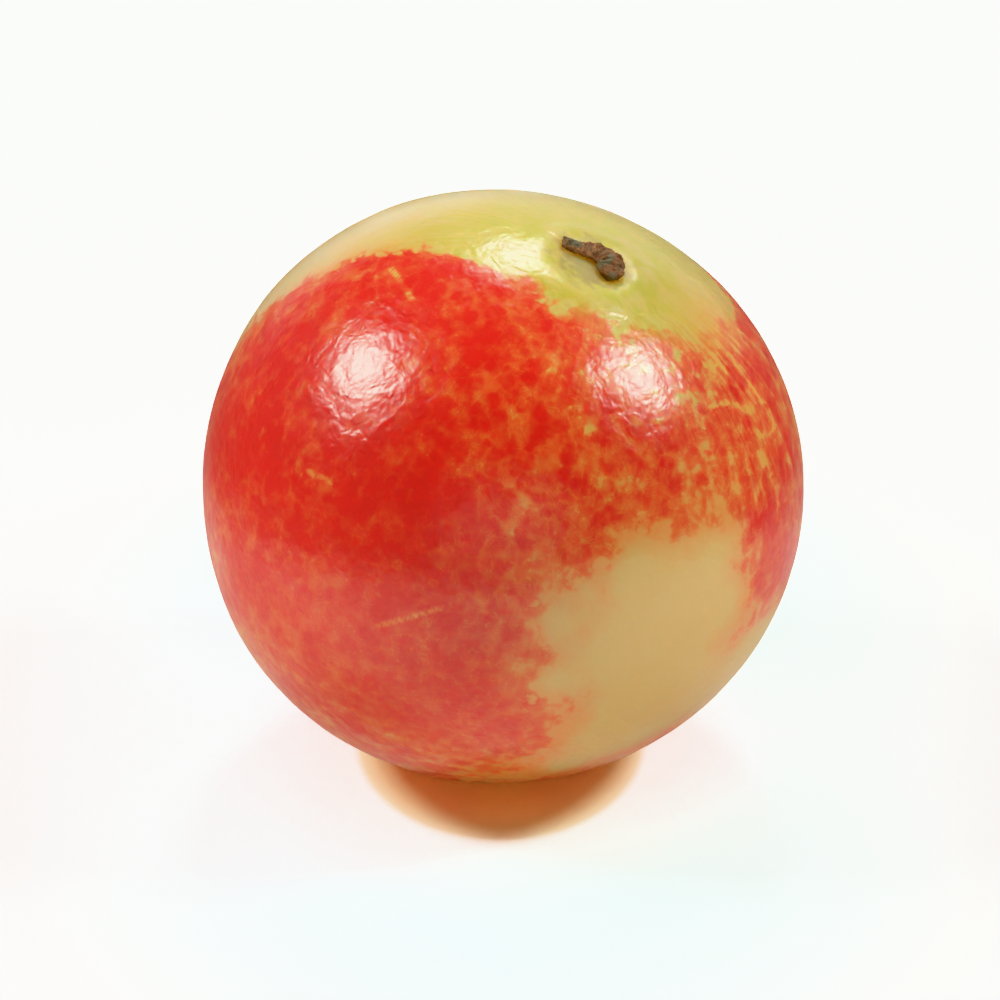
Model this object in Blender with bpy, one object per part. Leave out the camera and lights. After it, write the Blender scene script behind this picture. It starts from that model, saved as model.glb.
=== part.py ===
# Camu camu berry, as picked, resting on a level surface.
#
# Units are metres, +Z is up, and the viewer stands at -Y.
# The origin is the point of the surface right under the berry's middle, inside the small flat spot
# that the berry rests on.
# Each piece is shaped about the berry's own axis, with the stalk end at local +Z, and is then leaned
# over as a whole.

import math

import bmesh
import bpy
from mathutils import Matrix, Vector

MM = 0.001

# The berry's body
BERRY_WIDTH = 25.1 * MM  # across the middle, square to its axis
BERRY_LENGTH = 24.8 * MM  # from the stalk end to the blossom end
REST_RADIUS = 2.8 * MM  # of the flat spot
SWELL_HEIGHT = 0.07 * MM  # of each of the broad, shallow swells that keep it from being a true ball
SWELLS = (  # each swell's way and quickness across the body, and its start
    (Vector((2.6, -1.3, 0.0)), 0.5),
    (Vector((0.0, 3.1, 1.9)), 1.2),
    (Vector((-2.7, 0.0, 2.2)), 2.4),
)

# How it lies
STALK_LEAN = math.radians(21.0)  # of the stalk end from upright
STALK_BEARING = math.radians(-30.9)  # the way it leans, seen from above, from +X

# The stalk end: a low uneven collar round a shallow socket
COLLAR_RADIUS = 2.2 * MM
COLLAR_WIDTH = 0.65 * MM
COLLAR_RISE = 0.09 * MM
COLLAR_WAVES = 3  # high places round the collar
COLLAR_UNEVENNESS = 0.35
SOCKET_RADIUS = 2.0 * MM  # where the skin starts to go down
SOCKET_FLOOR_RADIUS = 0.9 * MM
SOCKET_DEPTH = 0.24 * MM

# The stalk's torn remnant: a thick body bent round one side of the socket, and a thin arm straight off it
STUB_GAP = 0.25 * MM  # between the remnant and the socket's floor
STUB_BEND_RADIUS = 0.78 * MM  # of the bend of its middle line, about the berry's axis
STUB_START = math.radians(-14.0)  # the blunt end, as a turn about the axis
STUB_BEND = math.radians(132.0)  # how far the body bends round before the arm runs straight on
STUB_ARM = 1.35 * MM  # the arm's length
STUB_THICKNESS = 1.15 * MM  # across the remnant where it is fullest
STUB_TIP_THICKNESS = 0.50 * MM
STUB_RISE = 0.50 * MM  # of the remnant where it is fullest, from its underside
STUB_TIP_RISE = 0.26 * MM
STUB_SLANT = 0.3  # how much lower its top lies on the inside than on the outside
STUB_BLUNTNESS = 0.10  # how far along the blunt end goes on rounding out
STUB_TAPER = (0.30, 1.05)  # where along it the body narrows to the thin arm
STUB_STEPS = 36
STUB_SIDES = 12
TEAR_DEPTH = 0.08 * MM  # of the notches in the torn edge
TEARS = ((23.0, 0.7, 1.0), (57.0, 2.1, 0.6))  # each set of notches: its quickness, start and share

# The blossom end: a round scar with a raised rim, a dished floor and a tiny nipple
SCAR_RADIUS = 0.95 * MM
SCAR_RIM_WIDTH = 0.24 * MM
SCAR_RIM_RISE = 0.14 * MM
SCAR_DEPTH = 0.10 * MM
NIPPLE_RADIUS = 0.26 * MM
NIPPLE_RISE = 0.30 * MM

# The berry's mesh
SEGMENTS = 72
RINGS = 56
POLE_GATHER = 0.8  # how far the rings crowd towards the two ends, from 0 to 1

SMOOTH_ANGLE = math.radians(40.0)


def smooth_step(low, high, value):
    """Rise gently from 0 at low to 1 at high."""
    part = min(max((value - low) / (high - low), 0.0), 1.0)
    return part * part * (3.0 - 2.0 * part)


def hump(distance, centre, width):
    """A soft rounded ridge, 1 at its centre."""
    return math.exp(-(((distance - centre) / width) ** 2))


def swell(direction):
    """The broad uneven swells of the body."""
    return SWELL_HEIGHT * sum(math.sin(direction.dot(way) + phase) for way, phase in SWELLS)


def stalk_end_relief(distance, turn):
    """Height of the collar and depth of the socket, by distance from the stalk end along the skin."""
    wave = 1.0 + COLLAR_UNEVENNESS * math.sin(COLLAR_WAVES * turn)
    collar = COLLAR_RISE * wave * hump(distance, COLLAR_RADIUS, COLLAR_WIDTH)
    socket = SOCKET_DEPTH * (1.0 - smooth_step(SOCKET_FLOOR_RADIUS, SOCKET_RADIUS, distance))
    return collar - socket


def blossom_end_relief(distance):
    """Height of the scar's rim and nipple, and depth of its dish."""
    rim = SCAR_RIM_RISE * hump(distance, SCAR_RADIUS, SCAR_RIM_WIDTH)
    dish = SCAR_DEPTH * (1.0 - smooth_step(0.5 * SCAR_RADIUS, SCAR_RADIUS, distance))
    nipple = NIPPLE_RISE * hump(distance, 0.0, NIPPLE_RADIUS)
    return rim - dish + nipple


def skin_point(polar, turn):
    """The point of the skin at an angle from the stalk end and a turn about the berry's axis."""
    direction = Vector((math.sin(polar) * math.cos(turn), math.sin(polar) * math.sin(turn), math.cos(polar)))
    across = math.sin(polar) / (0.5 * BERRY_WIDTH)
    along = math.cos(polar) / (0.5 * BERRY_LENGTH)
    radius = 1.0 / math.hypot(across, along)
    relief = stalk_end_relief(radius * polar, turn) + blossom_end_relief(radius * (math.pi - polar))
    return direction * (radius + swell(direction) + relief)


def socket_height(away, turn):
    """Height of the skin above the berry's middle, at a distance from the axis near the stalk end."""
    return skin_point(math.asin(away / (0.5 * BERRY_LENGTH)), turn).z


def rest_height():
    """Height of the berry's middle above the surface, with the flat spot at its stated size."""
    half_width = 0.5 * BERRY_WIDTH
    half_length = 0.5 * BERRY_LENGTH
    lowest = math.hypot(half_width * math.sin(STALK_LEAN), half_length * math.cos(STALK_LEAN))
    return lowest - REST_RADIUS**2 / BERRY_WIDTH


def lean():
    """The turn that takes the upright berry to the way it lies."""
    return Matrix.Rotation(STALK_BEARING, 4, "Z") @ Matrix.Rotation(STALK_LEAN, 4, "Y")


def clear_scene():
    for old in list(bpy.data.objects):
        bpy.data.objects.remove(old, do_unlink=True)


def make_collection(name):
    collection = bpy.data.collections.new(name)
    bpy.context.scene.collection.children.link(collection)
    return collection


def make_material(name, colour, roughness):
    material = bpy.data.materials.new(name)
    material.use_nodes = True
    shader = material.node_tree.nodes["Principled BSDF"]
    shader.inputs["Base Color"].default_value = (*colour, 1.0)
    shader.inputs["Roughness"].default_value = roughness
    shader.inputs["Metallic"].default_value = 0.0
    return material


def make_piece(name, shape, material, collection, parent):
    """Turn a finished bmesh into a smooth-shaded object that leans with the berry."""
    mesh = bpy.data.meshes.new(name)
    shape.to_mesh(mesh)
    shape.free()
    mesh.shade_smooth()
    mesh.set_sharp_from_angle(angle=SMOOTH_ANGLE)
    mesh.materials.append(material)
    piece = bpy.data.objects.new(name, mesh)
    piece.parent = parent
    collection.objects.link(piece)
    return piece


def berry_shape():
    """A sphere whose rings crowd towards both ends, drawn out to the skin."""
    shape = bmesh.new()
    bmesh.ops.create_uvsphere(shape, u_segments=SEGMENTS, v_segments=RINGS, radius=1.0)
    for vert in shape.verts:
        even = math.acos(min(max(vert.co.z, -1.0), 1.0))
        polar = even - 0.5 * POLE_GATHER * math.sin(2.0 * even)
        vert.co = skin_point(polar, math.atan2(vert.co.y, vert.co.x))
    return shape


def stub_section(along):
    """Thickness and rise of the remnant, from its blunt end at 0 to its thin tip at 1."""
    rounding = smooth_step(-STUB_BLUNTNESS, STUB_BLUNTNESS, along)
    fullness = rounding * (1.0 - smooth_step(*STUB_TAPER, along))
    thickness = STUB_TIP_THICKNESS + (STUB_THICKNESS - STUB_TIP_THICKNESS) * fullness
    rise = STUB_TIP_RISE + (STUB_RISE - STUB_TIP_RISE) * fullness
    tear = sum(share * math.sin(quickness * along + phase) for quickness, phase, share in TEARS)
    return thickness, rise + TEAR_DEPTH * tear * fullness


def stub_shape():
    """A straight rod, cut into short lengths, then bent into the remnant with its torn top edge."""
    shape = bmesh.new()
    bmesh.ops.create_cone(
        shape, cap_ends=True, segments=STUB_SIDES, radius1=1.0, radius2=1.0, depth=1.0
    )
    lengthwise = [edge for edge in shape.edges if abs(edge.verts[0].co.z - edge.verts[1].co.z) > 0.5]
    bmesh.ops.subdivide_edges(shape, edges=lengthwise, cuts=STUB_STEPS - 1)
    for vert in shape.verts:
        vert.co = stub_point(vert.co.x, vert.co.y, vert.co.z + 0.5)
    bmesh.ops.reverse_faces(shape, faces=shape.faces)  # the bend mirrors the rod
    return shape


def stub_place(side, thickness, along):
    """Where a point of the remnant lies, seen along the berry's axis."""
    body = STUB_BEND_RADIUS * STUB_BEND
    run = (body + STUB_ARM) * along
    turn = STUB_START + min(run, body) / STUB_BEND_RADIUS
    outward = Vector((math.cos(turn), math.sin(turn)))
    onward = Vector((-outward.y, outward.x))
    return outward * (STUB_BEND_RADIUS + 0.5 * thickness * side) + onward * max(run - body, 0.0)


def stub_point(side, up, along):
    """A point of the rod's round section, moved to the socket and kept clear of its floor by the gap."""
    thickness, rise = stub_section(along)
    place = stub_place(side, thickness, along)
    slant = 1.0 - STUB_SLANT * 0.5 * (1.0 - side)
    floor = socket_height(place.length, math.atan2(place.y, place.x))
    return Vector((*place, floor + STUB_GAP + 0.5 * rise * slant * (1.0 + up)))


def cut_rest_spot(berry, cutters):
    """Cut the small flat spot that the berry rests on, level with the surface."""
    size = 2.0 * BERRY_WIDTH
    shape = bmesh.new()
    bmesh.ops.create_cube(shape, size=size)
    mesh = bpy.data.meshes.new("surface_cutter")
    shape.to_mesh(mesh)
    shape.free()
    cutter = bpy.data.objects.new("surface_cutter", mesh)
    cutter.location = (0.0, 0.0, -0.5 * size)
    cutter.hide_render = True
    cutter.display_type = "WIRE"
    cutters.objects.link(cutter)
    cut = berry.modifiers.new("rest_spot", "BOOLEAN")
    cut.operation = "DIFFERENCE"
    cut.object = cutter


def build():
    clear_scene()
    pieces = make_collection("camu_camu")
    cutters = make_collection("cutters")

    middle = bpy.data.objects.new("berry_middle", None)
    middle.matrix_world = Matrix.Translation((0.0, 0.0, rest_height())) @ lean()
    pieces.objects.link(middle)

    skin = make_material("berry_skin", (0.62, 0.06, 0.025), 0.22)
    wood = make_material("dry_stalk", (0.09, 0.045, 0.025), 0.85)

    berry = make_piece("berry", berry_shape(), skin, pieces, middle)
    make_piece("stalk_stub", stub_shape(), wood, pieces, middle)
    cut_rest_spot(berry, cutters)


build()
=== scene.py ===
import math

import bmesh
import bpy
import numpy as np
from mathutils import Matrix, Vector, noise


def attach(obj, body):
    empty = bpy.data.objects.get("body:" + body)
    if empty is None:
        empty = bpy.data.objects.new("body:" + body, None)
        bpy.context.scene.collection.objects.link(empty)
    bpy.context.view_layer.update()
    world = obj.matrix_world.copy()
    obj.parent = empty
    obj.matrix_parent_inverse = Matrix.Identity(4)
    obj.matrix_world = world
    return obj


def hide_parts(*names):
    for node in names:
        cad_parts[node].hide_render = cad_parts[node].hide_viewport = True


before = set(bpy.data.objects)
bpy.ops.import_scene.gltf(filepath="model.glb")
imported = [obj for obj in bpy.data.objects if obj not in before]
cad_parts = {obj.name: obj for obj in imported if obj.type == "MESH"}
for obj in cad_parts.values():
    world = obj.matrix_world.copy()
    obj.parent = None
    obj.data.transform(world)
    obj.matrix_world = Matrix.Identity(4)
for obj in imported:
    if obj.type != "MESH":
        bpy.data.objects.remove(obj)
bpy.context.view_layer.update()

MM = 0.001

# The berry's body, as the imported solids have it
BERRY_WIDTH = 25.1 * MM
BERRY_LENGTH = 24.8 * MM
REST_RADIUS = 2.8 * MM
SWELL_HEIGHT = 0.07 * MM
SWELLS = (  # each swell's way and quickness across the body, and its start
    ((2.6, -1.3, 0.0), 0.5),
    ((0.0, 3.1, 1.9), 1.2),
    ((-2.7, 0.0, 2.2), 2.4),
)
STALK_LEAN = math.radians(21.0)
STALK_BEARING = math.radians(-30.9)

COLLAR_RADIUS = 2.2 * MM
COLLAR_WIDTH = 0.65 * MM
COLLAR_RISE = 0.09 * MM
COLLAR_WAVES = 3
COLLAR_UNEVENNESS = 0.35
SOCKET_RADIUS = 2.0 * MM
SOCKET_FLOOR_RADIUS = 0.9 * MM
SOCKET_DEPTH = 0.24 * MM

STUB_BEND_RADIUS = 0.78 * MM
STUB_START = math.radians(-14.0)
STUB_BEND = math.radians(132.0)
STUB_ARM = 1.35 * MM
STUB_THICKNESS = 1.15 * MM
STUB_TIP_THICKNESS = 0.50 * MM
STUB_RISE = 0.50 * MM
STUB_TIP_RISE = 0.26 * MM
STUB_SLANT = 0.3
STUB_BLUNTNESS = 0.10
STUB_TAPER = (0.30, 1.05)
STUB_ROOT = 0.06 * MM  # how deep the remnant's root is sunk in the skin
TEAR_DEPTH = 0.08 * MM
TEARS = ((23.0, 0.7, 1.0), (57.0, 2.1, 0.6))

SCAR_RADIUS = 0.95 * MM
SCAR_RIM_WIDTH = 0.24 * MM
SCAR_RIM_RISE = 0.14 * MM
SCAR_DEPTH = 0.10 * MM
NIPPLE_RADIUS = 0.26 * MM
NIPPLE_RISE = 0.30 * MM

# The fine meshes
SKIN_CELLS = 124  # along each edge of the cube that the skin is blown up from
POLE_GATHER = 0.66  # how far the mesh crowds towards the berry's two ends
STUB_STEPS = 180
STUB_SIDES = 48

# Fine relief of the skin: repeats to a millimetre, and height in millimetres
BROAD_RIPPLE = (0.32, 0.035)
CLOSE_RIPPLE = (0.9, 0.014)
CLOSE_RIPPLE_START = Vector((7.0, 3.0, 5.0))
RIPPLE_SINK = 0.04  # how far below the solid's skin the ripples' middle lies, in millimetres

# The remnant's torn surface: repeats to a millimetre, or to a fibre, and height in millimetres
FIBRE_FINENESS = Vector((9.0, 9.0, 2.5))
FIBRE_RIDGES = ((1.0, 0.05), (2.3, 0.03))
TORN_TOP = ((5.2, 0.10), (11.0, 0.06))

# Where the photograph shows the berry, in its pixels
PHOTO_MIDDLE = (466.5, 600.8)
PHOTO_RADIUS = 88.6

# The view
CAMERA_ELEVATION = math.radians(28.0)
CAMERA_DISTANCE = 450.0 * MM
CAMERA_NEAREST = 10.0 * MM
FRAME_WIDTH = 41.5 * MM  # how much of the scene the picture spans at the berry
AIM_HEIGHT = 11.4 * MM


def smooth_step(low, high, value):
    """Rise gently from 0 at low to 1 at high."""
    part = np.clip((value - low) / (high - low), 0.0, 1.0)
    return part * part * (3.0 - 2.0 * part)


def hump(distance, centre, width):
    """A soft rounded ridge, 1 at its centre."""
    return np.exp(-(((distance - centre) / width) ** 2))


def stalk_end_relief(distance, turn):
    """Height of the collar and depth of the socket, by distance from the stalk end along the skin."""
    wave = 1.0 + COLLAR_UNEVENNESS * np.sin(COLLAR_WAVES * turn)
    collar = COLLAR_RISE * wave * hump(distance, COLLAR_RADIUS, COLLAR_WIDTH)
    return collar - SOCKET_DEPTH * (1.0 - smooth_step(SOCKET_FLOOR_RADIUS, SOCKET_RADIUS, distance))


def blossom_end_relief(distance):
    """Height of the scar's rim and nipple, and depth of its dish."""
    rim = SCAR_RIM_RISE * hump(distance, SCAR_RADIUS, SCAR_RIM_WIDTH)
    dish = SCAR_DEPTH * (1.0 - smooth_step(0.5 * SCAR_RADIUS, SCAR_RADIUS, distance))
    return rim - dish + NIPPLE_RISE * hump(distance, 0.0, NIPPLE_RADIUS)


def skin_points(polar, turn):
    """Points of the skin about the berry's own axis, for arrays of angles."""
    direction = np.stack((np.sin(polar) * np.cos(turn), np.sin(polar) * np.sin(turn), np.cos(polar)), axis=-1)
    radius = 1.0 / np.hypot(np.sin(polar) / (0.5 * BERRY_WIDTH), np.cos(polar) / (0.5 * BERRY_LENGTH))
    relief = stalk_end_relief(radius * polar, turn) + blossom_end_relief(radius * (math.pi - polar))
    swell = SWELL_HEIGHT * sum(np.sin(direction @ np.array(way) + phase) for way, phase in SWELLS)
    return direction * (radius + swell + relief)[..., None]


def rest_height():
    """Height of the berry's middle above the floor, with the flat spot at its stated size."""
    lowest = math.hypot(0.5 * BERRY_WIDTH * math.sin(STALK_LEAN), 0.5 * BERRY_LENGTH * math.cos(STALK_LEAN))
    return lowest - REST_RADIUS**2 / BERRY_WIDTH


MIDDLE = Vector((0.0, 0.0, rest_height()))
LEAN = Matrix.Rotation(STALK_BEARING, 3, "Z") @ Matrix.Rotation(STALK_LEAN, 3, "Y")
VIEW_RIGHT = Vector((1.0, 0.0, 0.0))
VIEW_UP = Vector((0.0, math.sin(CAMERA_ELEVATION), math.cos(CAMERA_ELEVATION)))
VIEW_TOWARD = Vector((0.0, -math.cos(CAMERA_ELEVATION), math.sin(CAMERA_ELEVATION)))
SKIN_RADIUS_MM = 0.5 * BERRY_WIDTH / MM


def seen_at(x, y):
    """The way from the berry's middle to the skin that the photograph shows at a pixel."""
    right = (x - PHOTO_MIDDLE[0]) / PHOTO_RADIUS
    up = (PHOTO_MIDDLE[1] - y) / PHOTO_RADIUS
    toward = math.sqrt(max(0.0, 1.0 - right * right - up * up))
    return (VIEW_RIGHT * right + VIEW_UP * up + VIEW_TOWARD * toward).normalized()


def out_of_sight(bearing, height):
    """A way from the berry's middle by compass bearing from +X and height above level, in degrees."""
    turn, rise = math.radians(bearing), math.radians(height)
    return Vector((math.cos(rise) * math.cos(turn), math.cos(rise) * math.sin(turn), math.sin(rise)))


# Bare skin, which the blush never reached, is the sum of round spots that run together.
SPOT_MELD = 0.6  # how far, in millimetres, neighbouring spots run together

# Middles of the spots that the photograph shows, in its pixels
PATCH_SPOTS = (
    (516, 641), (530, 637), (547, 643), (527, 622), (506, 627), (492, 632), (484, 640),
    (502, 650), (483, 657), (512, 665), (498, 676), (486, 683), (535, 655),
)
CAP_SPOTS = (
    (440, 520), (466, 522), (492, 530), (512, 541), (484, 519), (523, 550), (519, 533), (420, 529),
    (404, 541), (395, 548), (484, 544), (508, 533), (527, 541),
)

# Places on the edge of the patch low on the right and of the cap over the stalk end, in the same pixels
PATCH_EDGE = (
    (491.6, 623.9), (498.5, 618.4), (505.3, 615.0), (517.7, 616.3), (521.8, 612.9), (524.5, 610.2),
    (529.3, 611.5), (532.8, 615.7), (534.8, 621.1), (536.9, 626.6), (550.6, 633.5), (489.6, 628.7),
    (483.4, 633.5), (473.8, 639.0), (479.3, 647.2), (473.8, 655.0), (478.0, 663.0), (487.5, 667.8),
    (483.4, 677.4), (476.6, 684.0),
)
CAP_EDGE = (
    (393.6, 552.6), (405.2, 540.2), (414.8, 537.5), (428.6, 534.1), (440.0, 534.5), (449.1, 534.8),
    (457.4, 534.8), (458.7, 540.2), (468.0, 541.5), (477.9, 543.0), (491.6, 549.8), (500.0, 551.0),
    (510.8, 552.6), (521.8, 558.0), (531.4, 555.3),
)

# Places that are well inside bare skin, and places that are surely red
BARE_PLACES = (
    (515, 640), (510, 665), (500, 655), (530, 640), (545, 642), (540, 655), (500, 676), (485, 684),
    (490, 655), (520, 620), (453, 515), (462, 514), (470, 514), (480, 516), (486, 520), (495, 521),
    (505, 523), (512, 529), (520, 535), (526, 541), (430, 525), (440, 524), (420, 530), (410, 535),
    (400, 545), (445, 517),
)
RED_PLACES = (
    (440, 545), (455, 545), (470, 552), (485, 560), (430, 545), (415, 548), (400, 556), (465, 645),
    (462, 655), (465, 670), (470, 630), (480, 622), (545, 615), (530, 600), (515, 605), (500, 608),
    (543, 624),
)

# What the places ask of the spots: how far inside in millimetres, which way they may pass it, and how firmly
EDGE_DEPTH, EDGE_FIRMNESS = -0.15, 1.0
BARE_DEPTH, BARE_FIRMNESS = 0.8, 0.8
RED_DEPTH, RED_FIRMNESS = -0.7, 0.8
EXACTLY, OR_MORE, OR_LESS = 0, 1, -1

# The reaches of the seen spots start alike and are worked out from the places, in millimetres
FIRST_REACH = 2.0
LEAST_REACH = 0.3
MOST_REACH = 5.5
HOLD_BACK = 0.1  # how firmly a reach keeps to the first one where no place asks anything of it
SETTLING_ROUNDS = 40
SETTLING_DAMPING = 0.02

# The spots along the cap's far edge and past it: each one's middle and reach in millimetres
FAR_CAP_SPOTS = (
    (seen_at(480, 513), 4.2),
    (seen_at(462, 511), 3.4),
    (seen_at(502, 520), 3.6),
)
HIDDEN_SPOTS = (
    # the cap, further round
    (out_of_sight(-20, 62), 3.2),
    (out_of_sight(10, 60), 3.2),
    (out_of_sight(158, 48), 3.0),
    # the shaded side
    (out_of_sight(33, -12), 4.6),
    (out_of_sight(58, 6), 4.4),
    (out_of_sight(55, -22), 5.0),
    (out_of_sight(80, -36), 4.2),
)

# Out of sight the edges of bare skin wander: waves to a millimetre, and how far they go in millimetres
WANDERINGS = ((0.20, 3.4), (0.55, 1.6))
OUT_OF_SIGHT_FADE = 0.45  # how far past the berry's outline the wandering comes in, as a share of its radius

# How dense the blush is: each place, its spread in millimetres, and how much it adds or takes
BLUSH_OVERALL = 0.64
BLUSH_PLACES = (
    (seen_at(438, 607), 5.0, 0.35),
    (seen_at(415, 560), 4.5, 0.30),
    (seen_at(450, 548), 3.5, 0.25),
    (seen_at(537, 585), 3.2, -0.28),
    (seen_at(475, 640), 3.0, -0.04),
    (seen_at(390, 650), 4.0, -0.24),
    (seen_at(396, 600), 3.5, 0.30),
    (seen_at(466, 688), 3.0, -0.10),
    (seen_at(480, 590), 3.0, -0.12),
    (seen_at(546, 618), 1.8, 0.25),
    (seen_at(460, 662), 3.5, 0.18),
    (seen_at(505, 556), 2.6, -0.30),
    (out_of_sight(150, 15), 9.0, 0.35),
    (out_of_sight(60, 0), 10.0, -0.50),
    (out_of_sight(290, -75), 8.0, -0.45),
)

# Where golden flesh shows in streaks through the blush
GOLD_PLACES = (
    (seen_at(546, 580), 4.0, 1.0),
    (seen_at(533, 560), 2.5, 0.6),
)

# Where the blush fades out softly
SOFT_PLACES = (
    (seen_at(503, 553), 3.2, 1.3),
    (seen_at(530, 556), 2.4, 0.9),
)

# A pale band painted along the cap's far edge: a painted sheen, for the rim's reflection of the bright
# surroundings
PAINTED_SHEEN_PLACES = (
    (seen_at(398, 549), 1.5, 0.50),
    (seen_at(413, 533), 1.6, 0.60),
    (seen_at(432, 522), 1.6, 0.65),
    (seen_at(453, 515), 1.6, 0.70),
    (seen_at(475, 513), 1.7, 0.70),
    (seen_at(498, 518), 1.7, 0.70),
    (seen_at(519, 529), 1.5, 0.50),
)

# Where the blush is the most even
CALM_PLACES = (
    (seen_at(450, 662), 4.5, 0.50),
    (seen_at(412, 640), 4.0, 0.40),
    (seen_at(443, 612), 4.0, 0.35),
)

# Pale scratches, each from end to end
SCRATCHES = (
    (seen_at(435, 538), seen_at(441, 547)),
    (seen_at(411, 597), seen_at(418, 600)),
    (seen_at(510, 583), seen_at(532, 577)),
    (seen_at(450, 636), seen_at(432, 641)),
)
FAR_OFF = 99.0  # farther than any place on the berry, in millimetres


def along_skin(directions, middle):
    """Distances along the skin, in millimetres, from some places to a middle, or to each of several."""
    return SKIN_RADIUS_MM * np.arccos(np.clip(directions @ np.array(middle).T, -1.0, 1.0))


def spread_over(places, directions):
    """Sum of soft humps of the places over the skin."""
    total = np.zeros(len(directions))
    for middle, spread, amount in places:
        total += amount * hump(along_skin(directions, middle), 0.0, spread)
    return total


def inside_of(spots, directions):
    """How far, in millimetres, the skin lies inside the spots, which run together without a seam."""
    total = np.zeros(len(directions))
    for middle, reach in spots:
        total += np.exp((reach - along_skin(directions, middle)) / SPOT_MELD)
    return SPOT_MELD * np.log(total)


def ways_to(pixels):
    return np.array([seen_at(x, y) for x, y in pixels])


def what_is_asked(reaches, middles, places, depth, sense, firmness):
    """How each reach would move some places, and how far those still are from what they ask."""
    held_middles = [middle for middle, reach in FAR_CAP_SPOTS]
    held_reaches = [reach for middle, reach in FAR_CAP_SPOTS]
    gaps = along_skin(places, np.vstack((middles, held_middles)))
    push = np.exp((np.concatenate((reaches, held_reaches)) - gaps) / SPOT_MELD)
    lack = depth - SPOT_MELD * np.log(push.sum(axis=1))
    if sense != EXACTLY:
        lack = np.where(lack * sense > 0.0, lack, 0.0)
    share = push[:, : len(reaches)] / push.sum(axis=1)[:, None]
    return firmness * share * (lack != 0.0)[:, None], firmness * lack


def settled_spots():
    """The seen spots, with reaches that bring the edge of bare skin to the places on it."""
    middles = ways_to(PATCH_SPOTS + CAP_SPOTS)
    demands = (
        (ways_to(CAP_EDGE + PATCH_EDGE), EDGE_DEPTH, EXACTLY, EDGE_FIRMNESS),
        (ways_to(BARE_PLACES), BARE_DEPTH, OR_MORE, BARE_FIRMNESS),
        (ways_to(RED_PLACES), RED_DEPTH, OR_LESS, RED_FIRMNESS),
    )
    even = np.eye(len(middles))
    reaches = np.full(len(middles), FIRST_REACH)
    for _ in range(SETTLING_ROUNDS):
        asked = [what_is_asked(reaches, middles, *demand) for demand in demands]
        effects = np.vstack([effect for effect, lack in asked] + [HOLD_BACK * even])
        lacks = np.concatenate([lack for effect, lack in asked] + [HOLD_BACK * (FIRST_REACH - reaches)])
        step = np.linalg.solve(effects.T @ effects + SETTLING_DAMPING * even, effects.T @ lacks)
        reaches = np.clip(reaches + step, LEAST_REACH, MOST_REACH)
    return tuple(zip(middles, reaches))


def away_from(marks, directions):
    """Distance in millimetres from the nearest of some thin lines on the skin, each with two ends."""
    nearest = np.full(len(directions), FAR_OFF)
    for start, end in marks:
        first, last = np.array(start), np.array(end)
        run = last - first
        along = np.clip((directions - first) @ run / (run @ run), 0.0, 1.0)
        gap = np.linalg.norm(directions - (first + along[:, None] * run), axis=1)
        nearest = np.minimum(nearest, SKIN_RADIUS_MM * gap)
    return nearest


def summed_noise(point, sets):
    """Sum of some sets of smooth noise at a point, each with its fineness and height."""
    return sum(height * noise.noise(point * fineness) for fineness, height in sets)


def ripple(point_mm):
    """Fine uneven relief of the skin, in millimetres, never above it."""
    fineness, height = CLOSE_RIPPLE
    close = height * noise.noise(point_mm * fineness + CLOSE_RIPPLE_START)
    return summed_noise(point_mm, (BROAD_RIPPLE,)) + close - RIPPLE_SINK


def add_attribute(mesh, name, values):
    """Give a mesh a number at each corner, for its material to read."""
    layer = mesh.attributes.new(name, "FLOAT", "POINT")
    layer.data.foreach_set("value", np.asarray(values, dtype=np.float32))


def finished_object(name, shape):
    """Turn a finished bmesh into a smooth-shaded object of the scene."""
    mesh = bpy.data.meshes.new(name)
    shape.to_mesh(mesh)
    shape.free()
    mesh.shade_smooth()
    piece = bpy.data.objects.new(name, mesh)
    bpy.context.scene.collection.objects.link(piece)
    return piece


def blow_up(cube):
    """Even directions from the corners of a divided cube."""
    ball = np.tan(cube * (math.pi / 4.0))
    return ball / np.linalg.norm(ball, axis=1)[:, None]


def corners_of(mesh):
    flat = np.empty(3 * len(mesh.vertices))
    mesh.vertices.foreach_get("co", flat)
    return flat.reshape(-1, 3)


def move_corners(mesh, points):
    """Set a mesh's corners from points about the berry's own axis, leaned over as it lies."""
    world = points @ np.array(LEAN).T + np.array(MIDDLE)
    world[:, 2] = np.maximum(world[:, 2], 0.0)  # pressed flat where it rests
    mesh.vertices.foreach_set("co", world.ravel())
    mesh.update()


def mark_skin(mesh, points, polar):
    """Write down on the skin what its material needs to know of each corner."""
    directions = (points / np.linalg.norm(points, axis=1)[:, None]) @ np.array(LEAN).T
    hidden = smooth_step(0.0, OUT_OF_SIGHT_FADE, -(directions @ np.array(VIEW_TOWARD)))
    wandering = np.array([summed_noise(Vector(point) / MM, WANDERINGS) for point in points])
    spots = settled_spots() + FAR_CAP_SPOTS + HIDDEN_SPOTS
    add_attribute(mesh, "bare", inside_of(spots, directions) + hidden * wandering)
    add_attribute(mesh, "blush", BLUSH_OVERALL + spread_over(BLUSH_PLACES, directions))
    add_attribute(mesh, "gold", spread_over(GOLD_PLACES, directions))
    add_attribute(mesh, "soft", spread_over(SOFT_PLACES, directions))
    # the pale band along the cap's far edge is a painted sheen
    add_attribute(mesh, "pale", spread_over(PAINTED_SHEEN_PLACES, directions))
    add_attribute(mesh, "swing", 1.0 - spread_over(CALM_PLACES, directions))
    add_attribute(mesh, "from_stalk", SKIN_RADIUS_MM * polar)
    add_attribute(mesh, "from_scratch", away_from(SCRATCHES, directions))


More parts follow.
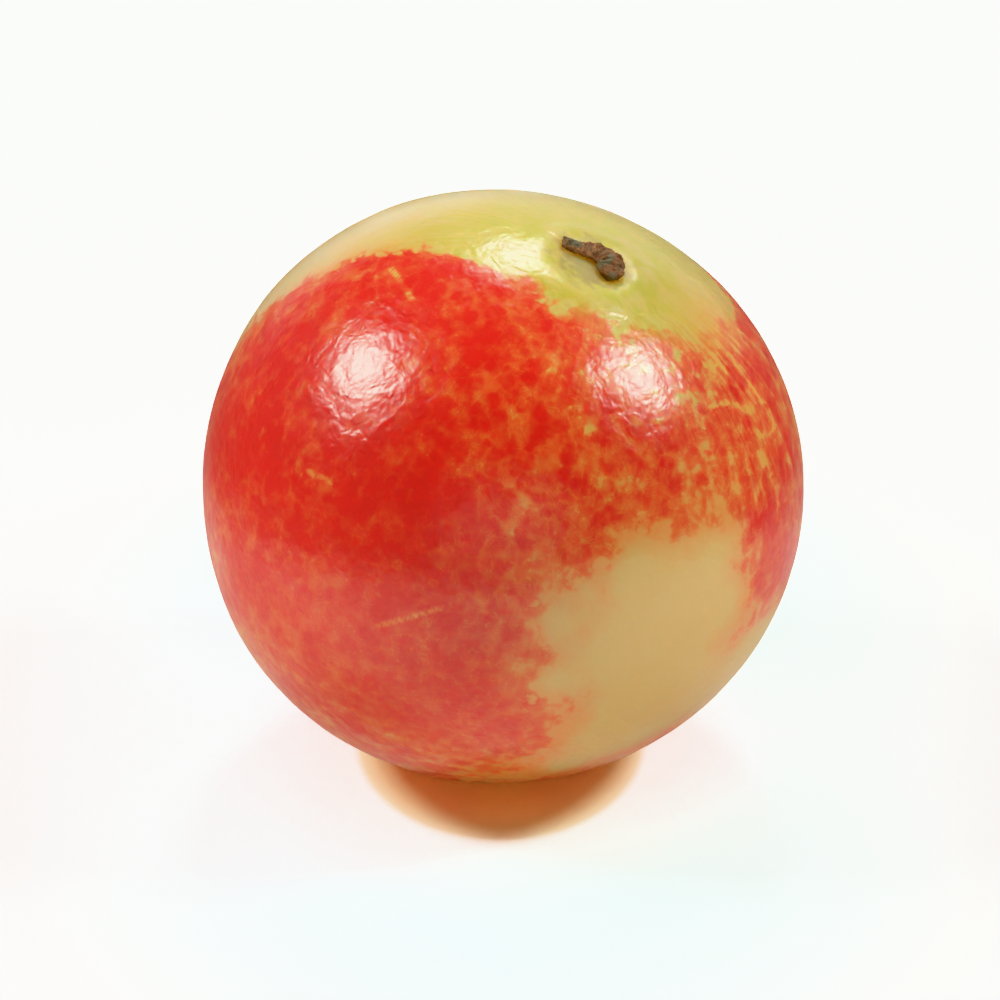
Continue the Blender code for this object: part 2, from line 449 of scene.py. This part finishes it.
def make_skin():
    """The berry's fine skin: a divided cube blown up to a ball, so that no pole pinches, then drawn out."""
    shape = bmesh.new()
    bmesh.ops.create_cube(shape, size=2.0)
    bmesh.ops.subdivide_edges(shape, edges=shape.edges, cuts=SKIN_CELLS - 1, use_grid_fill=True)
    piece = finished_object("berry_skin", shape)
    ball = blow_up(corners_of(piece.data))
    even = np.arccos(np.clip(ball[:, 2], -1.0, 1.0))
    polar = even - 0.5 * POLE_GATHER * np.sin(2.0 * even)
    points = skin_points(polar, np.arctan2(ball[:, 1], ball[:, 0]))
    lengths = np.linalg.norm(points, axis=1)
    fine = np.array([ripple(Vector(point) / MM) for point in points]) * MM
    points *= ((lengths + fine) / lengths)[:, None]
    move_corners(piece.data, points)
    mark_skin(piece.data, points, polar)
    return piece


def stub_points(side, up, along):
    """The torn remnant: a straight rod's corners, bent round one side of the socket's floor."""
    rounding = smooth_step(-STUB_BLUNTNESS, STUB_BLUNTNESS, along)
    fullness = rounding * (1.0 - smooth_step(*STUB_TAPER, along))
    thickness = STUB_TIP_THICKNESS + (STUB_THICKNESS - STUB_TIP_THICKNESS) * fullness
    tear = sum(share * np.sin(quickness * along + phase) for quickness, phase, share in TEARS)
    rise = STUB_TIP_RISE + (STUB_RISE - STUB_TIP_RISE + TEAR_DEPTH * tear) * fullness
    body = STUB_BEND_RADIUS * STUB_BEND
    run = (body + STUB_ARM) * along
    turn = STUB_START + np.minimum(run, body) / STUB_BEND_RADIUS
    outward = STUB_BEND_RADIUS + 0.5 * thickness * side
    onward = np.maximum(run - body, 0.0)
    x = outward * np.cos(turn) - onward * np.sin(turn)
    y = outward * np.sin(turn) + onward * np.cos(turn)
    slant = 1.0 - STUB_SLANT * 0.5 * (1.0 - side)
    floor = skin_points(np.arcsin(np.hypot(x, y) / (0.5 * BERRY_LENGTH)), np.arctan2(y, x))[:, 2]
    height = floor - 0.5 * STUB_ROOT * (1.0 - up) + 0.5 * rise * slant * (1.0 + up)
    return np.stack((x, y, height), axis=-1)


def frayed(point, up):
    """A point of the remnant, roughened along its fibres and torn on top."""
    spot = Vector(point) / MM
    outward = Vector((spot.x, spot.y, 0.0)).normalized()
    push = summed_noise(spot * FIBRE_FINENESS, FIBRE_RIDGES)
    lift = max(up, 0.0) * summed_noise(spot, TORN_TOP)
    return (spot + outward * push + Vector((0.0, 0.0, lift))) * MM


def make_stub():
    """The remnant: a straight rod, cut into short lengths, then bent and frayed."""
    shape = bmesh.new()
    bmesh.ops.create_cone(shape, cap_ends=True, segments=STUB_SIDES, radius1=1.0, radius2=1.0, depth=1.0)
    lengthwise = [edge for edge in shape.edges if abs(edge.verts[0].co.z - edge.verts[1].co.z) > 0.5]
    bmesh.ops.subdivide_edges(shape, edges=lengthwise, cuts=STUB_STEPS - 1)
    bmesh.ops.reverse_faces(shape, faces=shape.faces)  # the bend mirrors the rod
    piece = finished_object("stalk_remnant", shape)
    rod = corners_of(piece.data)
    side, up, along = rod[:, 0], rod[:, 1], rod[:, 2] + 0.5
    bent = stub_points(side, up, along)
    move_corners(piece.data, np.array([frayed(point, rise) for point, rise in zip(bent, up)]))
    return piece


STREAK_SHORTENING = 0.18  # how much slower a streak changes along its run than across it


class Shade:
    """A short way to write down a material's nodes."""

    def __init__(self, name):
        self.material = bpy.data.materials.new(name)
        self.material.use_nodes = True
        self.tree = self.material.node_tree
        self.tree.nodes.clear()
        self.surface = self.add("ShaderNodeBsdfPrincipled")
        self.output = self.add("ShaderNodeOutputMaterial")
        self.set(self.output.inputs["Surface"], self.surface.outputs[0])

    def add(self, kind, **settings):
        node = self.tree.nodes.new(kind)
        for key, value in settings.items():
            setattr(node, key, value)
        return node

    def set(self, socket, value):
        """Link a socket to another, or give it a plain value."""
        if isinstance(value, bpy.types.NodeSocket):
            self.tree.links.new(value, socket)
        else:
            socket.default_value = value

    def finish(self, **values):
        """Set the surface's values by their names, and hand over the material."""
        for key, value in values.items():
            self.set(self.surface.inputs[key.replace("_", " ").title().replace("Ior", "IOR")], value)
        return self.material

    def math(self, operation, first, second=0.0, third=0.0):
        node = self.add("ShaderNodeMath", operation=operation)
        for socket, value in zip(node.inputs, (first, second, third)):
            self.set(socket, value)
        return node.outputs[0]

    def plus_times(self, base, amount, strength):
        """A base with some amount of something at a strength added to it."""
        return self.math("MULTIPLY_ADD", amount, strength, base)

    def vector_math(self, operation, first, second, third=None):
        """A sum on places, whose second value is plain numbers."""
        node = self.add("ShaderNodeVectorMath", operation=operation)
        self.set(node.inputs[0], first)
        node.inputs[1].default_value = second
        if third is not None:
            self.set(node.inputs[2], third)
        return node.outputs[0]

    def stretched(self, place, factor):
        node = self.add("ShaderNodeVectorMath", operation="SCALE")
        self.set(node.inputs[0], place)
        node.inputs["Scale"].default_value = factor
        return node.outputs[0]

    def ramp(self, value, low, high, to_low=0.0, to_high=1.0):
        """Carry a range of values smoothly to another."""
        node = self.add("ShaderNodeMapRange", interpolation_type="SMOOTHSTEP")
        for socket, number in zip(node.inputs[:5], (value, low, high, to_low, to_high)):
            self.set(socket, number)
        return node.outputs[0]

    def colours(self, value, stops):
        """Colours along a band of stops, each with its position and colour."""
        node = self.add("ShaderNodeValToRGB")
        band = node.color_ramp
        while len(band.elements) < len(stops):
            band.elements.new(0.5)
        for element, (position, colour) in zip(band.elements, stops):
            element.position = position
            element.color = (*colour, 1.0)
        self.set(node.inputs[0], value)
        return node.outputs[0]

    def blend(self, amount, first, second):
        """One colour turning into another by an amount."""
        node = self.add("ShaderNodeMix", data_type="RGBA")
        self.set(node.inputs[0], amount)
        self.set(node.inputs[6], (*first, 1.0) if isinstance(first, tuple) else first)
        self.set(node.inputs[7], (*second, 1.0) if isinstance(second, tuple) else second)
        return node.outputs[2]

    def attribute(self, name):
        return self.add("ShaderNodeAttribute", attribute_name=name).outputs["Fac"]

    def place(self):
        """Millimetres in the berry's own frame."""
        coordinates = self.add("ShaderNodeTexCoord").outputs["Object"]
        mapping = self.add("ShaderNodeMapping", vector_type="TEXTURE")
        self.set(mapping.inputs["Vector"], coordinates)
        mapping.inputs["Location"].default_value = MIDDLE
        mapping.inputs["Rotation"].default_value = LEAN.to_euler()
        return self.stretched(mapping.outputs[0], 1.0 / MM)

    def streak_place(self, place):
        """A place whose patterns run out in streaks from the stalk end to the blossom end."""
        flat = self.vector_math("MULTIPLY", place, (1.0, 1.0, 0.0))
        way = self.add("ShaderNodeVectorMath", operation="NORMALIZE")
        self.set(way.inputs[0], flat)
        round_it = self.stretched(way.outputs[0], SKIN_RADIUS_MM)
        return self.vector_math("MULTIPLY_ADD", place, (0.0, 0.0, STREAK_SHORTENING), round_it)

    def stir(self, level, *parts):
        """Add to a level the swings of some noises about their middle, each with its strength."""
        for swing, strength in parts:
            level = self.plus_times(level, self.math("SUBTRACT", swing, 0.5), strength)
        return level

    def noise(self, place, per_mm, detail=2.0, roughness=0.5, distortion=0.0):
        node = self.add("ShaderNodeTexNoise")
        self.set(node.inputs["Vector"], place)
        node.inputs["Scale"].default_value = per_mm
        node.inputs["Detail"].default_value = detail
        node.inputs["Roughness"].default_value = roughness
        node.inputs["Distortion"].default_value = distortion
        return node.outputs[0]

    def warped(self, place, per_mm, reach):
        """A place pushed about by noise, by up to half the reach each way."""
        swing = self.add("ShaderNodeTexNoise")
        self.set(swing.inputs["Vector"], place)
        swing.inputs["Scale"].default_value = per_mm
        return self.vector_math("MULTIPLY_ADD", swing.outputs["Color"], (reach, reach, reach), place)

    def cells(self, place, per_mm):
        node = self.add("ShaderNodeTexVoronoi")
        self.set(node.inputs["Vector"], place)
        node.inputs["Scale"].default_value = per_mm
        return node

    def bump(self, height, distance, under=None):
        """Relief of a height in metres, on top of another where one is given."""
        node = self.add("ShaderNodeBump")
        self.set(node.inputs["Height"], height)
        node.inputs["Distance"].default_value = distance
        if under is not None:
            self.set(node.inputs["Normal"], under)
        return node.outputs[0]


# Colours of bare skin
CREAM = (0.82, 0.525, 0.192)
TAN = (0.90, 0.350, 0.118)
GOLD = (0.92, 0.450, 0.105)
YELLOW = (0.70, 0.545, 0.160)
LIME = (0.62, 0.530, 0.095)
# a painted sheen, laid along the cap's far edge
PAINTED_SHEEN = (0.84, 0.710, 0.490)
BARK_STAIN = (0.36, 0.24, 0.085)

# Colours of the blush, from the faintest to the densest
BLUSH_COLOURS = (
    (0.04, (0.91, 0.300, 0.098)),
    (0.22, (0.92, 0.210, 0.073)),
    (0.40, (0.91, 0.140, 0.054)),
    (0.60, (0.89, 0.086, 0.041)),
    (0.80, (0.87, 0.052, 0.033)),
    (1.00, (0.85, 0.033, 0.027)),
)

# Patterns of the skin, in repeats to a millimetre
CLOUDS_PER_MM = 0.30
COAST_PER_MM = 0.8
DABS_PER_MM = 0.9
FLECKS_PER_MM = 2.4
STREAKS_PER_MM = 1.6
LINES_PER_MM = 1.1
BLOTS_PER_MM = 1.35
BLOT_WARP = (1.4, 0.9)  # repeats to a millimetre, and reach in millimetres
PORES_PER_MM = 1.9
RELIEF_PER_MM = 1.2
WRINKLES_PER_MM = 2.1

# Sizes within the patterns, in shares of their cells or swings
BLOT_RIM = (0.62, 0.35)
BLOT_GAP = (0.42, 0.70)
PORE_RIM = (0.06, 0.20)
LINE_WIDTH = 0.022

# The coastline of bare skin, in millimetres: how far it wanders, and where the blush begins and ends
COAST_WANDER = 1.6
LOBE_WANDER = 0.8
FLECK_WANDER = 0.6
BLUSH_STARTS = -0.42
BLUSH_ENDS = 0.03

# Near bare skin the blush thins out: over a narrow fringe by the stalk end, and a broad one lower down
FRINGE_PLACES = (7.0, 12.0)  # distances from the stalk end
FRINGE_WIDTHS = (-0.4, -2.4)

# How strongly each pattern dapples the blush
DAPPLE_LEVEL = 0.08
CLOUD_DAPPLE = 0.8
DAB_DAPPLE = 1.5
BLOT_DAPPLE = 0.26
FLECK_DAPPLE = 0.65
STREAK_DAPPLE = 0.5
GOLD_STREAK_DAPPLE = 1.6  # more of it where the flesh is golden

# How much density the blush loses
FRINGE_THINNING = -0.42
LINE_THINNING = -0.20
GAP_THINNING = -0.15
PORE_THINNING = -0.22
SCRATCH_THINNING = -0.60
SCRATCH_WIDTH = (0.05, 0.22)
BLUSH_FADE = (-0.10, 0.20)  # the densities between which the flesh is covered

# Where the flesh changes colour, in millimetres: by depth inside bare skin, and by distance from the stalk
CREAM_DEPTHS = (-0.4, 1.1)
CREAM_WANDER = 1.0
LIME_SHARE = (0.36, 0.64)
GREEN_REACH = (3.5, 13.0)
GREEN_STREAKS = (2.5, 6.0)

# The brown stain about the remnant's root
STAIN_REACH = (0.6, 2.0)
STAIN_STRENGTH = 0.70
STAIN_WANDERS = (2.4, 1.6)

# The skin's finish
RELIEF_HEIGHT = 0.056 * MM
WRINKLE_HEIGHT = 0.023 * MM
SOCKET_EDGE = (1.4, 2.6)  # distances from the stalk end, in millimetres
SOCKET_ROUGHNESS = 0.50
SKIN_ROUGHNESS = 0.28
SKIN_IOR = 1.80
FLESH_GLOW_DEPTH = 5.0 * MM  # how far light goes through the flesh
FLESH_GLOW_COLOURS = (1.0, 0.35, 0.15)  # red goes deepest


def skin_material():
    shade = Shade("camu_skin")
    place = shade.place()
    blush = shade.attribute("blush")
    bare = shade.attribute("bare")
    from_stalk = shade.attribute("from_stalk")
    from_scratch = shade.attribute("from_scratch")
    gold = shade.attribute("gold")
    soft = shade.attribute("soft")
    pale = shade.attribute("pale")
    swing = shade.attribute("swing")

    clouds = shade.noise(place, CLOUDS_PER_MM, detail=3.0)
    coast = shade.noise(place, COAST_PER_MM)
    dabs = shade.noise(place, DABS_PER_MM, roughness=0.55, distortion=0.3)
    flecks = shade.noise(place, FLECKS_PER_MM)
    drawn = shade.streak_place(place)
    streaks = shade.noise(drawn, STREAKS_PER_MM, detail=3.0, roughness=0.55, distortion=0.4)
    wander = shade.noise(place, LINES_PER_MM, detail=3.0, roughness=0.55, distortion=1.2)
    blots = shade.cells(shade.warped(place, *BLOT_WARP), BLOTS_PER_MM)
    blot = shade.math("MULTIPLY", blots.outputs["Color"], shade.ramp(blots.outputs["Distance"], *BLOT_RIM))
    pore = shade.cells(place, PORES_PER_MM).outputs["Distance"]

    # how far inside bare skin a point lies, with an uneven coastline of lobes and islands
    edge = shade.stir(bare, (coast, COAST_WANDER), (blot, LOBE_WANDER), (flecks, FLECK_WANDER))
    starts = shade.math("SUBTRACT", BLUSH_STARTS, soft)
    ends = shade.math("ADD", BLUSH_ENDS, soft)
    bare_share = shade.ramp(edge, starts, ends)
    fringe = shade.ramp(from_stalk, *FRINGE_PLACES, *FRINGE_WIDTHS)

    # the blush: dappled in round blots, streaked where the flesh is golden, and thinner towards bare skin, on
    # thin wandering lines, between the blots, on pores and on scratches
    streakiness = shade.plus_times(STREAK_DAPPLE, gold, GOLD_STREAK_DAPPLE)
    dapple = shade.stir(
        DAPPLE_LEVEL,
        (clouds, CLOUD_DAPPLE),
        (dabs, DAB_DAPPLE),
        (blot, BLOT_DAPPLE),
        (flecks, FLECK_DAPPLE),
        (streaks, streakiness),
    )
    density = shade.plus_times(blush, dapple, swing)
    density = shade.plus_times(density, shade.ramp(edge, fringe, 0.0), FRINGE_THINNING)
    off_line = shade.math("ABSOLUTE", shade.math("SUBTRACT", wander, 0.5))
    density = shade.plus_times(density, shade.ramp(off_line, 0.0, LINE_WIDTH, 1.0, 0.0), LINE_THINNING)
    between = shade.math("MULTIPLY", shade.ramp(blots.outputs["Distance"], *BLOT_GAP), swing)
    density = shade.plus_times(density, between, GAP_THINNING)
    density = shade.plus_times(density, shade.ramp(pore, *PORE_RIM, 1.0, 0.0), PORE_THINNING)
    scratched = shade.ramp(from_scratch, *SCRATCH_WIDTH, 1.0, 0.0)
    density = shade.plus_times(density, scratched, SCRATCH_THINNING)

    # flesh colour: tan to cream low down, yellow-green and streaky round the stalk end, golden in places, and
    # painted pale along the cap's far edge as a painted sheen
    flesh = shade.blend(shade.ramp(shade.stir(bare, (coast, CREAM_WANDER)), *CREAM_DEPTHS), TAN, CREAM)
    streaked = shade.ramp(from_stalk, *GREEN_STREAKS)
    drawn_out = shade.math("MULTIPLY", shade.math("SUBTRACT", streaks, dabs), streaked)
    green = shade.blend(shade.ramp(shade.math("ADD", dabs, drawn_out), *LIME_SHARE), YELLOW, LIME)
    flesh = shade.blend(shade.ramp(from_stalk, *GREEN_REACH, 1.0, 0.0), flesh, green)
    flesh = shade.blend(shade.math("MINIMUM", gold, 1.0), flesh, GOLD)
    # a painted sheen: the flesh made pale along the cap's far edge
    flesh = shade.blend(shade.math("MINIMUM", pale, 1.0), flesh, PAINTED_SHEEN)

    colour = shade.blend(shade.ramp(density, *BLUSH_FADE), flesh, shade.colours(density, BLUSH_COLOURS))
    colour = shade.blend(bare_share, colour, flesh)
    fleck_wander, dab_wander = STAIN_WANDERS
    from_root = shade.stir(from_stalk, (flecks, fleck_wander), (dabs, dab_wander))
    colour = shade.blend(shade.ramp(from_root, *STAIN_REACH, STAIN_STRENGTH, 0.0), colour, BARK_STAIN)

    relief = shade.noise(place, RELIEF_PER_MM, distortion=0.4)
    wrinkle = shade.noise(place, WRINKLES_PER_MM, detail=1.0, distortion=0.5)
    normal = shade.bump(wrinkle, WRINKLE_HEIGHT, under=shade.bump(relief, RELIEF_HEIGHT))
    material = shade.finish(
        base_color=colour,
        roughness=shade.ramp(from_stalk, *SOCKET_EDGE, SOCKET_ROUGHNESS, SKIN_ROUGHNESS),
        ior=SKIN_IOR,
        normal=normal,
        subsurface_weight=1.0,
        subsurface_scale=FLESH_GLOW_DEPTH,
        subsurface_radius=FLESH_GLOW_COLOURS,
    )
    shade.surface.subsurface_method = "BURLEY"
    return material


# The remnant's dry wood, and the grey that lies on it in patches
WOOD_COLOURS = (
    (0.28, (0.090, 0.050, 0.032)),
    (0.48, (0.24, 0.112, 0.062)),
    (0.68, (0.46, 0.220, 0.110)),
)
WEATHERED = (0.20, 0.17, 0.115)
WEATHERED_SHARE = (0.48, 0.62)
WOOD_FIBRES_PER_MM = 4.0
WEATHERING_PER_MM = 1.6
WOOD_FIBRE_HEIGHT = 0.06 * MM
WOOD_ROUGHNESS = 0.75


def stub_material():
    shade = Shade("dry_stalk")
    place = shade.place()
    fibre = shade.noise(place, WOOD_FIBRES_PER_MM, detail=5.0, roughness=0.7)
    weathering = shade.noise(place, WEATHERING_PER_MM, detail=3.0)
    wood = shade.colours(fibre, WOOD_COLOURS)
    colour = shade.blend(shade.ramp(weathering, *WEATHERED_SHARE), wood, WEATHERED)
    normal = shade.bump(fibre, WOOD_FIBRE_HEIGHT)
    return shade.finish(base_color=colour, roughness=WOOD_ROUGHNESS, normal=normal)


# The floor: how it gives light back, brightly about a place in front of the berry and dimly far from it
FLOOR_SPREAD = 3.0
FLOOR_SINK = 0.02 * MM  # keeps it clear of the flat spot
FLOOR_BRIGHT_MIDDLE = (0.0, -45.0 * MM, 0.0)
FLOOR_BRIGHT_REACH = 50.0 * MM
FLOOR_FADE_REACH = 85.0 * MM
FLOOR_BRIGHT = (0.8, 0.8, 0.8)
FLOOR_DIM = (0.15, 0.15, 0.15)
FLOOR_ROUGHNESS = 0.8

# How the camera sees it: from the shadow under the berry outwards, the last stop at the reach. Near the berry
# the colours are a painted shadow, warm orange and darker, for light glowing through the berry into its
# contact shadow; further out a painted cyan tint offsets the red light that the berry bounces onto the floor
FLOOR_PAINTED_SHADOW_REACH = 30.0 * MM
FLOOR_PAINTED_SHADOW_SHAPE = (1.38, 0.98, 1.0)  # the painted contact shadow is narrower than it is deep
FLOOR_SEEN_PAINTED_SHADOW_COLOURS = (
    (0.12, (3.00, 1.75, 0.85)),
    (0.17, (2.15, 1.38, 0.80)),
    (0.24, (1.35, 1.18, 0.78)),
    (0.27, (1.40, 1.40, 1.05)),
    (0.287, (1.97, 2.42, 2.75)),
    (0.50, (1.95, 2.38, 2.75)),
    (1.00, (2.10, 2.10, 2.33)),
)


def floor_material():
    """A white floor that shows white to the camera, but for a painted warm shadow under the berry, and gives
    light back only near the berry.
    """
    shade = Shade("pale_floor_painted_shadow")
    place = shade.add("ShaderNodeTexCoord").outputs["Object"]
    away = shade.add("ShaderNodeVectorMath", operation="DISTANCE")
    shade.set(away.inputs[0], place)
    away.inputs[1].default_value = FLOOR_BRIGHT_MIDDLE
    fade = shade.ramp(away.outputs["Value"], FLOOR_BRIGHT_REACH, FLOOR_FADE_REACH)
    shade.finish(base_color=shade.blend(fade, FLOOR_BRIGHT, FLOOR_DIM), roughness=FLOOR_ROUGHNESS)
    seen = shade.add("ShaderNodeBsdfDiffuse")
    from_contact = shade.add("ShaderNodeVectorMath", operation="LENGTH")
    shade.set(from_contact.inputs[0], shade.vector_math("MULTIPLY", place, FLOOR_PAINTED_SHADOW_SHAPE))
    near = shade.math("DIVIDE", from_contact.outputs["Value"], FLOOR_PAINTED_SHADOW_REACH)
    # the colour the camera sees paints the contact shadow under the berry
    shade.set(seen.inputs["Color"], shade.colours(near, FLOOR_SEEN_PAINTED_SHADOW_COLOURS))
    either = shade.add("ShaderNodeMixShader")
    shade.set(either.inputs[0], shade.add("ShaderNodeLightPath").outputs["Is Camera Ray"])
    shade.set(either.inputs[1], shade.surface.outputs[0])
    shade.set(either.inputs[2], seen.outputs[0])
    shade.set(shade.output.inputs["Surface"], either.outputs[0])
    return shade.material


def make_floor():
    shape = bmesh.new()
    bmesh.ops.create_grid(shape, x_segments=1, y_segments=1, size=FLOOR_SPREAD)
    bmesh.ops.translate(shape, verts=shape.verts, vec=(0.0, 0.0, -FLOOR_SINK))
    floor = finished_object("floor", shape)
    floor.data.materials.append(floor_material())


# The surroundings, by how far up or how far behind a way points: from where to where they change, and to what
WORLD_SEEN_WHITE = 3.0
SKY_LIGHT = (0.15, 0.60, 0.30, 0.11)
BACK_GLOW = 0.8  # strength of the pale band low behind the berry, for the sheen along its top edge
BACK_GLOW_BEHIND = (0.55, 0.95, 0.0, BACK_GLOW)
BACK_GLOW_LOW_DOWN = (0.05, 0.50, 1.0, 0.0)


def world_ramp(tree, numbers):
    """A node that carries a range of values smoothly to another."""
    node = tree.nodes.new("ShaderNodeMapRange")
    node.interpolation_type = "SMOOTHSTEP"
    for socket, number in zip(node.inputs[1:5], numbers):
        socket.default_value = number
    return node


def make_world():
    """White to the camera all round; what lights the berry is dim, a little brighter low down and behind."""
    world = bpy.data.worlds.new("studio")
    bpy.context.scene.world = world
    world.use_nodes = True
    tree = world.node_tree
    tree.nodes.clear()
    where = tree.nodes.new("ShaderNodeTexCoord")
    parts = tree.nodes.new("ShaderNodeSeparateXYZ")
    sky = world_ramp(tree, SKY_LIGHT)
    behind = world_ramp(tree, BACK_GLOW_BEHIND)
    low_down = world_ramp(tree, BACK_GLOW_LOW_DOWN)
    strength = tree.nodes.new("ShaderNodeMath")
    strength.operation = "MULTIPLY_ADD"
    lighting = tree.nodes.new("ShaderNodeBackground")
    seen = tree.nodes.new("ShaderNodeBackground")
    seen.inputs["Strength"].default_value = WORLD_SEEN_WHITE
    either = tree.nodes.new("ShaderNodeMixShader")
    output = tree.nodes.new("ShaderNodeOutputWorld")
    for source, socket in (
        (where.outputs["Generated"], parts.inputs[0]),
        (parts.outputs["Z"], sky.inputs["Value"]),
        (parts.outputs["Y"], behind.inputs["Value"]),
        (parts.outputs["Z"], low_down.inputs["Value"]),
        (behind.outputs[0], strength.inputs[0]),
        (low_down.outputs[0], strength.inputs[1]),
        (sky.outputs[0], strength.inputs[2]),
        (strength.outputs[0], lighting.inputs["Strength"]),
        (tree.nodes.new("ShaderNodeLightPath").outputs["Is Camera Ray"], either.inputs[0]),
        (lighting.outputs[0], either.inputs[1]),
        (seen.outputs[0], either.inputs[2]),
        (either.outputs[0], output.inputs["Surface"]),
    ):
        tree.links.new(source, socket)


# The lamps: each one's name, its way from the berry, its width in metres and its power in watts
LIGHT_DISTANCE = 1.5
LIGHT_COLOUR = (0.97, 0.99, 0.86)
LIGHTS = (
    ("softbox_left", (-0.73, 0.025, 0.683), 0.34, 16.2),
    ("softbox_right", (0.722, 0.025, 0.692), 0.28, 14.0),
    ("softbox_back", (0.07, 0.627, 0.775), 0.24, 6.6),
    ("front_fill", (0.0, -1.0, 0.15), 1.2, 2.4),
)


def make_light(name, towards, width, power):
    """A square soft light that faces the berry from a given way."""
    data = bpy.data.lights.new(name, "AREA")
    data.shape = "SQUARE"
    data.size = width
    data.energy = power
    data.color = LIGHT_COLOUR
    light = bpy.data.objects.new(name, data)
    light.location = MIDDLE + towards.normalized() * LIGHT_DISTANCE
    light.rotation_euler = (-towards).to_track_quat("-Z", "Y").to_euler()
    bpy.context.scene.collection.objects.link(light)


def make_camera():
    data = bpy.data.cameras.new("camera")
    data.lens = data.sensor_width * CAMERA_DISTANCE / FRAME_WIDTH
    data.clip_start = CAMERA_NEAREST
    camera = bpy.data.objects.new("camera", data)
    aim = Vector((0.0, 0.0, AIM_HEIGHT))
    camera.location = aim + VIEW_TOWARD * CAMERA_DISTANCE
    camera.rotation_euler = (-VIEW_TOWARD).to_track_quat("-Z", "Y").to_euler()
    bpy.context.scene.collection.objects.link(camera)
    bpy.context.scene.camera = camera


def dress(piece, node, material):
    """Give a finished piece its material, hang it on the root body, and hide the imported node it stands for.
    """
    piece.data.materials.append(material)
    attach(piece, "root")
    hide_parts(node)


bpy.context.scene.view_settings.view_transform = "Khronos PBR Neutral"
make_camera()
make_world()
for name, towards, width, power in LIGHTS:
    make_light(name, Vector(towards), width, power)
make_floor()
dress(make_skin(), "berry", skin_material())
dress(make_stub(), "stalk_stub", stub_material())
